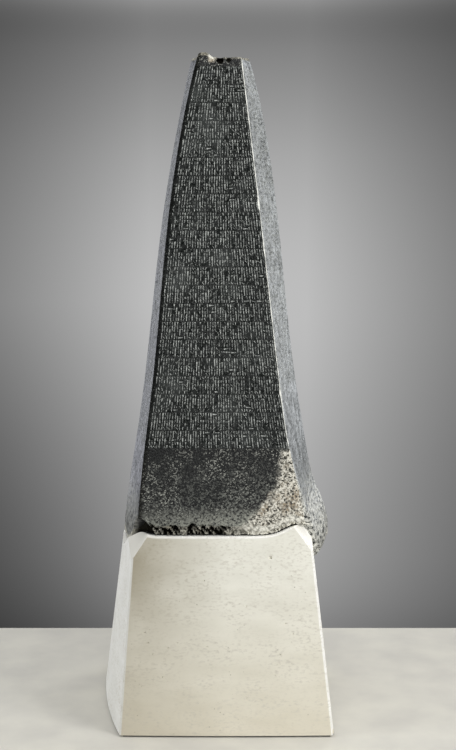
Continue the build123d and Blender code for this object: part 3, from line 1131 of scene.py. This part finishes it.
# %% [markdown]
# ## Plinth block: eased edges
# The block is one sawn and rubbed piece of limestone.  A mason takes the sharpness off every
# edge with a rubbing stone, and more of it off the carved seat's front lip, which the shaft was
# slid over.  A copy of the CAD block is merged from loose triangles to whole faces, each sharp
# edge gets a bevel weight by how much was rubbed off it, and a Bevel modifier eases them all.
# One modifier with weights keeps the corners closed where a worn edge meets a sharper one.

# %% Merged copy of the block
block = bpy.data.objects.new("dressed_block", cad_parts["plinth_block"].data.copy())
bpy.context.scene.collection.objects.link(block)
select_only(block)
bpy.ops.mesh.customdata_custom_splitnormals_clear()
bpy.ops.object.mode_set(mode="EDIT")
bpy.ops.mesh.select_all(action="SELECT")
bpy.ops.mesh.remove_doubles(threshold=0.02 * MM)
bpy.ops.mesh.dissolve_limited(angle_limit=radians(0.4))
bpy.ops.object.mode_set(mode="OBJECT")
RUBBED, EASED, STAINED_AND_SHADED = range(3)      # material slots of the block
block.data.materials.clear()
for _ in range(3):
    block.data.materials.append(None)
print("block faces", len(block.data.polygons))

# %% Eased edges
EASING = 4.5 * MM            # at the seat's front lip, the most worn edge
ARRIS_EASING = 0.25          # the others, as shares of it
SEAT_EASING = 0.15
FOOT_EASING = 0.12
SHARP = radians(22)          # an edge that turns less than this isn't eased
LOOKS_UP, LOOKS_FRONT = 0.7, -0.97      # normals past these belong to the seat and to the front
block_edges = bmesh.new()
block_edges.from_mesh(block.data)
weights = block_edges.edges.layers.float.new("bevel_weight_edge")
eased = 0
for edge in block_edges.edges:
    if len(edge.link_faces) != 2 or edge.calc_face_angle() < SHARP:
        continue
    on_seat = max(face.normal.z for face in edge.link_faces) > LOOKS_UP
    on_front = min(face.normal.y for face in edge.link_faces) < LOOKS_FRONT
    edge[weights] = (1.0 if on_front else SEAT_EASING) if on_seat else ARRIS_EASING
    if max(corner.co.z for corner in edge.verts) < 10 * MM:
        edge[weights] = FOOT_EASING
    eased += 1
block_edges.to_mesh(block.data)
block_edges.free()
easing = block.modifiers.new("easing", "BEVEL")
easing.limit_method = "WEIGHT"
easing.width = EASING
easing.segments = 3
easing.use_clamp_overlap = False
easing.material = EASED
print("eased edges", eased)

# %% [markdown]
# ## Plinth block: pits and a chipped corner
# Limestone holds shells and soft spots that drop out and leave small pits, so pits are cut from
# the block with a Boolean modifier.  One rough lump is made, and a copy of it is set at every
# pit.  The front ones stand in known places, the others are scattered over the other sides.
# Pits drawn only in the material would stay flat, and the largest are seen against the light.

# %% Where the pits are
FRONT_PITS = (               # each is x and z in metres, and a radius in millimetres
    (0.1545, 0.4860, 5.0), (-0.0245, 0.4240, 2.6), (-0.0390, 0.3960, 2.0), (0.0900, 0.3560, 2.4),
    (-0.1760, 0.2560, 2.6), (-0.0960, 0.2570, 2.0), (-0.1220, 0.2430, 2.2), (-0.1630, 0.2260, 2.0),
    (-0.1370, 0.1640, 2.2), (0.1950, 0.3080, 2.6), (0.1820, 0.2250, 2.4), (0.1740, 0.1980, 1.8),
    (0.1260, 0.1350, 2.0), (0.0900, 0.1080, 1.8), (-0.0160, 0.2470, 2.0), (0.0810, 0.4590, 1.8),
    (-0.1930, 0.1390, 1.8), (0.1680, 0.1690, 1.8), (0.2160, 0.2810, 2.0), (-0.1840, 0.2840, 2.2),
)
SCATTERED_PITS = 60
FROM_SIDES = ((-1, 0), (1, 0), (0, 1))      # the left, the right and the back, a metre away
pit_rng = random.Random(31)
block_faces = BVHTree.FromObject(block, bpy.context.evaluated_depsgraph_get())


def surface_place(start, direction):
    """Where a line meets the block."""
    return block_faces.ray_cast(Vector(start), Vector(direction))[0]


pits = [(surface_place((x, -1, z), (0, 1, 0)), radius * MM) for x, z, radius in FRONT_PITS]
for number in range(SCATTERED_PITS):
    across, level = pit_rng.uniform(-0.26, 0.26), pit_rng.uniform(0.04, 0.42)
    x, y = FROM_SIDES[number % 3]
    start = (x or across, y or across, level)
    pits.append((surface_place(start, (-x, -y, 0)), pit_rng.uniform(1.5, 3.2) * MM))
print("pits", len(pits))

# %% Cutters
CHIP_SEEN = (0.3245, -1, 0.02)              # a line from here meets the front at the chip
CHIP_X, CHIP_LEVEL = 0.3310, 0.012
CHIP_SIZE = (9 * MM, 9 * MM, 15 * MM)
bpy.ops.object.select_all(action="DESELECT")
bpy.ops.mesh.primitive_ico_sphere_add(subdivisions=2, radius=1, location=(0, 0, 0))
cutter = bpy.context.object
lump = bmesh.new()
lump.from_mesh(cutter.data)
for vertex in lump.verts:
    vertex.co *= 1 + 0.35 * noise.noise(vertex.co * 1.7)
lump.to_mesh(cutter.data)
lump.free()


def add_cutter(into, place, size):
    """Put a copy of the lump, of this size along X, Y and Z, at a place."""
    copied = bmesh.new()
    copied.from_mesh(cutter.data)
    for vertex in copied.verts:
        vertex.co = Vector(place) + Vector([length * step for length, step in zip(vertex.co, size)])
    held = bpy.data.meshes.new("lump")
    copied.to_mesh(held)
    into.from_mesh(held)
    bpy.data.meshes.remove(held)
    copied.free()


all_cutters = bmesh.new()
for place, radius in pits:
    if place is not None:
        add_cutter(all_cutters, place, (radius * pit_rng.uniform(0.8, 1.5), radius, radius))
chip_place = surface_place(CHIP_SEEN, (0, 1, 0))
add_cutter(all_cutters, (CHIP_X, chip_place.y, CHIP_LEVEL), CHIP_SIZE)
all_cutters.to_mesh(cutter.data)
all_cutters.free()
print("chip at", tuple(round(step, 3) for step in chip_place))

# %% Cut the pits
PIT_FACE = 40 * MM ** 2      # a face smaller than this on the front is the wall of a pit
PIT_FRONT = -0.20
SEAT_CORNERS = (0.35, 0.70)  # the normals of the two cut corners of the seat rise between these
cutting = block.modifiers.new("cutting", "BOOLEAN")
cutting.operation = "DIFFERENCE"
cutting.solver = "EXACT"
cutting.object = cutter
bpy.context.view_layer.objects.active = block
bpy.ops.object.modifier_apply(modifier="easing")
bpy.ops.object.modifier_apply(modifier="cutting")
bpy.data.objects.remove(cutter)
for polygon in block.data.polygons:
    # The seat's two cut corners take the eased finish, so the left one gets its painted shade.
    if SEAT_CORNERS[0] < polygon.normal.z < SEAT_CORNERS[1]:
        polygon.material_index = EASED
    elif polygon.material_index != EASED:
        in_front_pit = polygon.area < PIT_FACE and polygon.center.y < PIT_FRONT
        front_on = polygon.normal.y < LOOKS_FRONT or in_front_pit
        polygon.material_index = STAINED_AND_SHADED if front_on else RUBBED
report_mesh(block)
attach(block, "root")
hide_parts("plinth_block")

# %% [markdown]
# ## Limestone
# A fine, dense, cream limestone, sawn and rubbed, so it is matt and even.  It was laid down in
# beds, which leave faint level streaks, with flecks of shell and a few dark specks in them.  The
# front is unevenly darker and yellower low down, and grey-brown at its left, partly from a real
# stain and partly as painted shade, as the key light falls from the right.  The eased edges are
# the cleanest and palest part, but painted shade darkens them towards the left.  All three
# finishes share one recipe for the stone and only differ in what lies on it.


# %% Limestone recipe
LIMESTONE_IOR = 1.5


def limestone_colour(tree, place, shade, light):
    """Level beds between two near colours, with fine flecks and a few dark specks."""
    beds = cloud(tree, place, 110 * MM, 0.25, 0.75, 6.0, squash=(1, 1, 3))
    colour = paint(tree, shade, light, beds)
    flecks = cloud(tree, place, 11 * MM, 0.50, 0.74, 5.0, squash=(1, 1, 2))
    colour = paint(tree, colour, "#C8C3B5", flecks, cloud(tree, place, 70 * MM, 0.30, 0.60))
    specks = dots(tree, place, 16 * MM, 0.05, 0.13)
    return paint(tree, colour, "#989280", specks, cloud(tree, place, 90 * MM, 0.50, 0.68))


def finish_limestone(tree, place, colour):
    """Rubbed limestone keeps a fine grit, which makes it matt.  The grit is drawn 2.5 mm wide,
    because at its true half a millimetre it wouldn't show."""
    grit = cloud(tree, place, 2.5 * MM, 0.2, 0.8, 3.0)
    finish_stone(tree, colour, 0.78, grit, 0.10 * MM, LIMESTONE_IOR)


# %% Rubbed and eased limestone
# The rubbed sides are a clean, even near-white.  The eased edges are as pale, but painted shade
# darkens them towards the left, away from the key light on the right.
sawn, tree, place = new_material("rubbed_limestone")
finish_limestone(tree, place, limestone_colour(tree, place, "#DDDCD6", "#EDECE8"))

edged, tree, place = new_material("eased_limestone")
along = add_node(tree, "ShaderNodeSeparateXYZ", {0: place}).outputs[0]
# Painted shade: darker towards the left.
leftward_shade = add_node(tree, "ShaderNodeMapRange", {
    "Value": along, "From Min": 0.06, "From Max": -0.20}).outputs[0]
colour = limestone_colour(tree, place, "#E4E2D9", "#EFEDE6")
finish_limestone(tree, place, paint(tree, colour, "#D0CDC4", leftward_shade))

# %% Stained limestone front
# Towards the floor the front turns darker and yellower.  Towards the left it turns grey-brown,
# partly a real stain and partly painted shade, as the key light falls from the right.
stained, tree, place = new_material("stained_limestone")
along, _, height = add_node(tree, "ShaderNodeSeparateXYZ", {0: place}).outputs
low_down = add_node(tree, "ShaderNodeMapRange", {
    "Value": height, "From Min": 0.45, "From Max": 0.0}).outputs[0]
# Grey-brown to the left: partly stain, partly painted shade away from the key light.
left_stain_and_shade = add_node(tree, "ShaderNodeMapRange", {
    "Value": along, "From Min": 0.04, "From Max": -0.25}).outputs[0]
patchy = add_node(tree, "ShaderNodeMapRange", {
    "Value": cloud(tree, place, 120 * MM, 0.35, 0.65), "To Min": 0.75, "To Max": 1.0}).outputs[0]
high_up = add_node(tree, "ShaderNodeMapRange", {
    "Value": height, "From Min": 0.20, "From Max": 0.48, "To Min": 0.42}).outputs[0]
clean = limestone_colour(tree, place, "#DEDCCF", "#EBE9DD")
yellowed = limestone_colour(tree, place, "#D3CCB9", "#DCD6C5")
colour = paint(tree, clean, yellowed, low_down)
finish_limestone(tree, place, paint(tree, colour, "#918770", left_stain_and_shade, patchy, high_up))

# %% Finish the block
for slot, material in enumerate((sawn, edged, stained)):
    block.data.materials[slot] = material
select_only(block)
bpy.ops.object.shade_smooth_by_angle(angle=radians(20))
weighting = block.modifiers.new("weighting", "WEIGHTED_NORMAL")
weighting.keep_sharp = True          # broad faces stay flat and only the eased edges turn
bpy.ops.object.modifier_apply(modifier="weighting")
print("block finishes", [material.name for material in block.data.materials])

# %% [markdown]
# ## Bedding and foot plate
# The stone sits on a thin dark rubber sheet that takes up the roughness of its underside, and
# the block on a plate of black stained board, set back so that only a shadow line shows.  Their
# black also stands in for part of the shade, in the gap under the shaft and in that shadow line.
# Both CAD solids have the right shape already and only need their finishes.


# %% Rubber and stained board
# Rubber is a flat dull black.  Stain sinks into the board's fibres, so it keeps their streaks.
# Both near-blacks are partly painted shade: under the shaft, and in the shadow line under the block.
def put_material(piece, material):
    piece.data.materials.clear()
    piece.data.materials.append(material)


rubber, tree, place = new_material("dull_black_rubber")
colour = paint(tree, "#141414", "#202020", cloud(tree, place, 8 * MM, 0.35, 0.65))
finish_stone(tree, colour, 0.7, cloud(tree, place, 1.0 * MM, 0.3, 0.7), 0.05 * MM, 1.52)
put_material(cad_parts["bedding_sheet"], rubber)

board, tree, place = new_material("black_stained_board")
fibres = cloud(tree, place, 9 * MM, 0.30, 0.70, 4.0, squash=(1, 1, 12))
colour = paint(tree, "#0C0B0A", "#1F1B18", fibres)
finish_stone(tree, colour, 0.65, fibres, 0.05 * MM, 1.5)
put_material(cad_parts["plinth_foot"], board)
print("finishes", rubber.name, board.name)

# %% [markdown]
# ## Floor
# The floor is a plain pale slab of ground that ends behind the plinth, so that the grey of the
# backdrop stands behind the dark stone.  It takes the object's shadow, which sets it down.

# %% Floor
FLOOR_SIZE = (4, 1.336, 1)   # so it ends about 0.4 m behind the plinth
bpy.ops.object.select_all(action="DESELECT")
bpy.ops.mesh.primitive_plane_add(size=1, location=(0, 0, 0))
floor = bpy.context.object
floor.name = "floor"
floor.scale = FLOOR_SIZE
bpy.ops.object.transform_apply(location=True, rotation=True, scale=True)
floor_finish, tree, place = new_material("matt_white_floor")
colour = paint(tree, "#BEBBB3", "#C9C6BC", cloud(tree, place, 150 * MM, 0.35, 0.65, 5.0))
finish_stone(tree, colour, 0.85, cloud(tree, place, 6 * MM, 0.3, 0.7), 0.05 * MM, 1.5)
put_material(floor, floor_finish)
print("floor", FLOOR_SIZE[:2])

# %% [markdown]
# ## Backdrop
# The backdrop is grey cloth with a soft pool of light on it: lightest a little below the
# camera's level and behind the shaft, darker above, below and to both sides.  It is painted in
# the world by direction, so it costs no geometry.  It is nearly the same behind all four sides,
# and much darker behind a corner or from high above.  Only the camera, gloss and glass see it,
# and all else gets a plain white fill.

# %% How bright the cloth and its painted pool of light are by height
RISES = (-0.40, 0.20)
BACKDROP_GREYS = (           # how steeply up a direction goes, and the cloth's painted brightness there
    (-0.40, 0.30), (-0.30, 0.56), (-0.25, 0.63), (-0.17, 0.675), (-0.10, 0.73), (-0.05, 0.74),
    (0.0, 0.71), (0.05, 0.65), (0.09, 0.58), (0.13, 0.51), (0.16, 0.43), (0.20, 0.35),
)
world = bpy.data.worlds.new("studio")
bpy.context.scene.world = world
world.use_nodes = True
sky = world.node_tree
sky.nodes.clear()
towards = add_node(sky, "ShaderNodeTexCoord").outputs["Generated"]
across, _, rise = add_node(sky, "ShaderNodeSeparateXYZ", {0: towards}).outputs
share = add_node(sky, "ShaderNodeMapRange", {
    "Value": rise, "From Min": RISES[0], "From Max": RISES[1]}).outputs[0]
ramp = add_node(sky, "ShaderNodeValToRGB", {0: share})
ramp.color_ramp.interpolation = "B_SPLINE"
for height, grey in BACKDROP_GREYS:
    stop = ramp.color_ramp.elements.new((height - RISES[0]) / (RISES[1] - RISES[0]))
    stop.color = (grey, grey, grey, 1)
print("stops", len(ramp.color_ramp.elements))

# %% Darker to the sides and at the lower left
# aside is how far a direction turns from the nearest of the four level axes.
folded = add_node(sky, "ShaderNodeVectorMath", {0: towards}, operation="ABSOLUTE").outputs[0]
steps = add_node(sky, "ShaderNodeSeparateXYZ", {0: folded}).outputs
aside = add_node(sky, "ShaderNodeMath", {0: steps[0], 1: steps[1]}, operation="MINIMUM").outputs[0]
sideways = add_node(sky, "ShaderNodeMapRange", {
    "Value": aside, "From Min": 0.06, "From Max": 0.30, "To Min": 1.0, "To Max": 0.40}).outputs[0]
lowness = add_node(sky, "ShaderNodeMapRange", {
    "Value": rise, "From Min": -0.06, "From Max": -0.30, "To Min": 0.0, "To Max": 2.6}).outputs[0]
leftness = add_node(sky, "ShaderNodeMapRange", {
    "Value": across, "From Min": 0.0, "From Max": -0.20, "To Min": 0.0, "To Max": 0.14}).outputs[0]
lost = add_node(sky, "ShaderNodeMath", {0: lowness, 1: leftness}, operation="MULTIPLY").outputs[0]
kept = add_node(sky, "ShaderNodeMath", {0: 1.0, 1: lost}, operation="SUBTRACT").outputs[0]
grey = ramp.outputs[0]
for factor in (sideways, kept):
    grey = add_node(sky, "ShaderNodeMath", {0: grey, 1: factor}, operation="MULTIPLY").outputs[0]
print("backdrop nodes", len(sky.nodes))

# %% World
GAMMA = 2.2                  # from how pale it looks to how much light it sends
FILL = 0.50                  # the white light from all round
cloth = add_node(sky, "ShaderNodeMath", {0: grey, 1: GAMMA}, operation="POWER").outputs[0]
rays = add_node(sky, "ShaderNodeLightPath").outputs
seen = rays["Is Camera Ray"]
for other in ("Is Glossy Ray", "Is Transmission Ray"):
    seen = add_node(sky, "ShaderNodeMath", {0: seen, 1: rays[other]}, operation="MAXIMUM").outputs[0]
fill = add_node(sky, "ShaderNodeBackground", {"Color": "#FFFFFF", "Strength": FILL})
backdrop = add_node(sky, "ShaderNodeBackground", {"Color": cloth, "Strength": 1.0})
mixed = add_node(sky, "ShaderNodeMixShader", {0: seen, 1: fill.outputs[0], 2: backdrop.outputs[0]})
add_node(sky, "ShaderNodeOutputWorld", {"Surface": mixed.outputs[0]})
print("backdrop nodes with light paths", len(sky.nodes))

# %% [markdown]
# ## Lamps
# Softboxes from the right, the left and above light the front.  The sides are seen at such a
# low angle that they act as mirrors, so two tall softboxes stand behind the object, outside the
# view, and it is their reflection that makes the two rubbed sides shine.

# %% Lamps
COOL = (0.93, 0.97, 1.0)
LAVENDER = (0.88, 0.90, 1.0)
NEUTRAL = (1.0, 1.0, 1.0)
LAMPS = (                    # name, place, what it points at, width and height, watts and tint
    ("right_softbox", (2.5, -2.1, 1.9), (0, 0, 0.6), (1.4, 2.2), 80, NEUTRAL),
    ("left_softbox", (-3.2, -0.8, 1.8), (0, 0, 0.8), (1.2, 2.2), 34, COOL),
    ("top_softbox", (0, -0.4, 4.2), (0, 0, 0), (2.5, 2.0), 52, NEUTRAL),
    ("back_left_softbox", (-2.6, 4.5, 1.6), (0, 0, 1.0), (3.0, 4.0), 37, LAVENDER),
    ("back_right_softbox", (2.6, 4.5, 1.85), (0, 0, 1.0), (3.0, 3.7), 56, COOL),
)
for name, stand, target, size, watts, tint in LAMPS:
    lamp_data = bpy.data.lights.new(name, "AREA")
    lamp_data.shape = "RECTANGLE"
    lamp_data.size, lamp_data.size_y = size
    lamp_data.energy = watts
    lamp_data.color = tint
    lamp = bpy.data.objects.new(name, lamp_data)
    lamp.location = stand
    lamp.rotation_euler = (Vector(target) - Vector(stand)).to_track_quat("-Z", "Y").to_euler()
    lamp.visible_camera = False
    bpy.context.scene.collection.objects.link(lamp)
print("lamps", [name for name, *_ in LAMPS])

# %% View settings
bpy.context.scene.view_settings.view_transform = "Standard"
print("view transform", bpy.context.scene.view_settings.view_transform)
